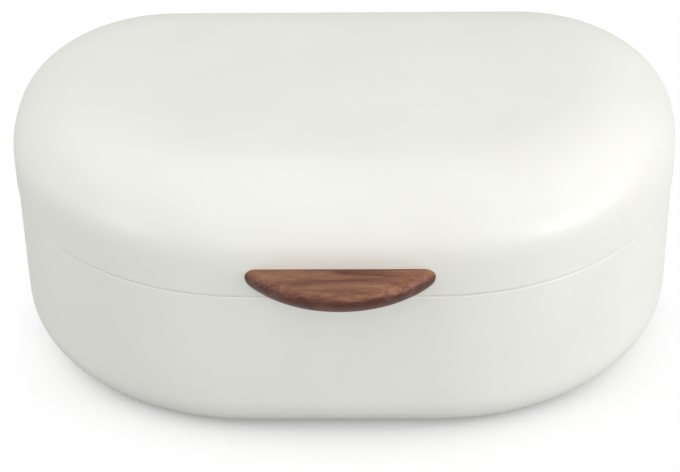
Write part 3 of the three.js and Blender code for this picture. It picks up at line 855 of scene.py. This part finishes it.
deselect()
bpy.ops.mesh.primitive_plane_add(size=FLOOR_WIDTH * MM, location=(0, 0, 0))
ground = bpy.context.object
ground.name = "studio_floor"
white, tree = new_material("white_studio_floor")
matte = add(tree, "BsdfDiffuse", {"Color": linear("#AAAAAA")})
pure = add(tree, "BsdfDiffuse", {"Color": (1, 1, 1, 1)})
position = add(tree, "TexCoord").outputs["Object"]
ovals = add(tree, "Mapping", {"Vector": position,
                              "Scale": (*per_metre(LENGTH / 2, DEPTH / 2), 0)})
away = add(tree, "VectorMath", {0: ovals.outputs["Vector"]}, operation="LENGTH")
outwards = add(tree, "MapRange", {"Value": away.outputs["Value"], "From Min": CLEAR_FROM,
                                  "From Max": CLEAR_TO, "To Min": NEAR_SHARE, "To Max": 1.0})
depth = add(tree, "SeparateXYZ", {"Vector": position}).outputs["Y"]
backwards = add(tree, "MapRange", {"Value": depth, "From Min": BACK_FROM * MM,
                                   "From Max": BACK_TO * MM, "To Min": 0.0,
                                   "To Max": BACK_SHARE})
share = add(tree, "Math", {0: outwards.outputs["Result"], 1: backwards.outputs["Result"]},
            operation="ADD", use_clamp=True)
cleared = add(tree, "Emission", {"Color": (1, 1, 1, 1), "Strength": 1.0})
backdrop = add(tree, "MixShader", {"Fac": share.outputs["Value"], 1: pure.outputs["BSDF"],
                                   2: cleared.outputs["Emission"]})
shown = add(tree, "MixShader", {"Fac": seen_rays(tree), 1: matte.outputs["BSDF"],
                                2: backdrop.outputs["Shader"]})
add(tree, "OutputMaterial", {"Surface": shown.outputs["Shader"]})
ground.data.materials.append(white)
print("The floor is", round(ground.dimensions.x, 1), "m wide")

# %% [markdown]
# The world behind is white where it is seen, and half as strong as light, so that it fills the
# shadows only a little.

# %% The white world
FILL_LIGHT = 0.5
world = bpy.data.worlds.new("white_studio")
bpy.context.scene.world = world
world.use_nodes = True
tree = world.node_tree
tree.nodes.clear()
strength = add(tree, "MapRange", {"Value": seen_rays(tree), "To Min": FILL_LIGHT, "To Max": 1.0})
sky = add(tree, "Background", {"Color": (1, 1, 1, 1), "Strength": strength.outputs["Result"]})
add(tree, "OutputWorld", {"Surface": sky.outputs["Background"]})
print("As light, the world has a strength of", FILL_LIGHT)

# %% [markdown]
# The lamps are softboxes, as in a photo studio: cloth-covered boxes that glow evenly. Their size
# makes the shadows and the gleams soft. Each lamp has its task. The right ones model the round
# right end, the low and high ones in front light the walls and draw the gleam along the dome, the
# left high one and the one overhead light the top, and the two low left ones keep the left end from
# going dull. Their distances and sizes are in metres, and their powers were matched to the picture
# together.

# %% The nine lamps
LIT_POINT = Vector((0, 0, 0.08))


def softbox(name, azimuth, elevation, distance, size, power):
    """A soft lamp that faces the box. Azimuth 0 is in front of it, 90 on its right. In metres."""
    deselect()
    turn, tilt = math.radians(azimuth), math.radians(elevation)
    outwards = math.cos(tilt)
    away = Vector((math.sin(turn) * outwards, -math.cos(turn) * outwards, math.sin(tilt)))
    bpy.ops.object.light_add(type="AREA", location=LIT_POINT + away * distance)
    light = bpy.context.object
    light.name = name
    light.rotation_euler = away.to_track_quat("Z", "Y").to_euler()
    light.data.shape = "RECTANGLE"
    light.data.size, light.data.size_y = size
    light.data.energy = power
    print(f"{name}: {power} W")


softbox("key_right", 56, 7, 1.6, (0.6, 0.4), 4.2)
softbox("right_side", 77, 9, 1.6, (0.9, 0.6), 3.1)
softbox("right_high", 95, 30, 1.6, (1.6, 1.3), 5.5)
softbox("front_low", 13, 18, 1.8, (2.4, 1.0), 7.3)
softbox("front_high", -2, 46, 1.7, (1.5, 0.35), 1.5)
softbox("left_front", -56, 12, 1.6, (0.7, 0.5), 2.3)
softbox("left_side", -88, 8, 1.6, (0.8, 0.6), 0.8)
softbox("left_high", -90, 60, 1.7, (2.2, 1.8), 9.6)
softbox("overhead", 135, 85, 1.75, (1.6, 1.2), 1.4)

# %% [markdown]
# ## The camera
#
# The picture was taken from in front and about 34 degrees above, with a long lens. The distance,
# the angles and the lens come from fitting the box's outline, its seam and its grip, with the
# picture's middle as the lens's own, so the camera needs no shift.

# %% Set the camera
ELEVATION, HEADING, ROLLED = 34.175, 1.559, -1.063
CAMERA_X, CAMERA_Y, CAMERA_Z = 27.16, PLAN_Y - 1109.03, 810.52
FOCAL_PIXELS, PICTURE_WIDTH = 2177.6, 680
SENSOR_WIDTH, NEAREST, FARTHEST = 36, 50, 50000
deselect()
bpy.ops.object.camera_add()
camera = bpy.context.object
camera.name = "photo_camera"
camera.data.sensor_width = SENSOR_WIDTH
camera.data.lens = FOCAL_PIXELS / PICTURE_WIDTH * SENSOR_WIDTH
camera.data.clip_start, camera.data.clip_end = NEAREST * MM, FARTHEST * MM
aim = Matrix.Rotation(math.radians(HEADING), 4, "Z")
for angle, axis in ((90 - ELEVATION, "X"), (ROLLED, "Z")):
    aim = aim @ Matrix.Rotation(math.radians(angle), 4, axis)
stand = Matrix.Translation((CAMERA_X * MM, CAMERA_Y * MM, CAMERA_Z * MM))
camera.matrix_world = stand @ aim
bpy.context.scene.camera = camera
bpy.context.scene.view_settings.view_transform = "Standard"
print("Lens:", round(camera.data.lens, 1), "mm")

# %% [markdown]
# ## The last step
#
# The script ends with nothing selected.

# %% Finish with nothing selected
deselect()
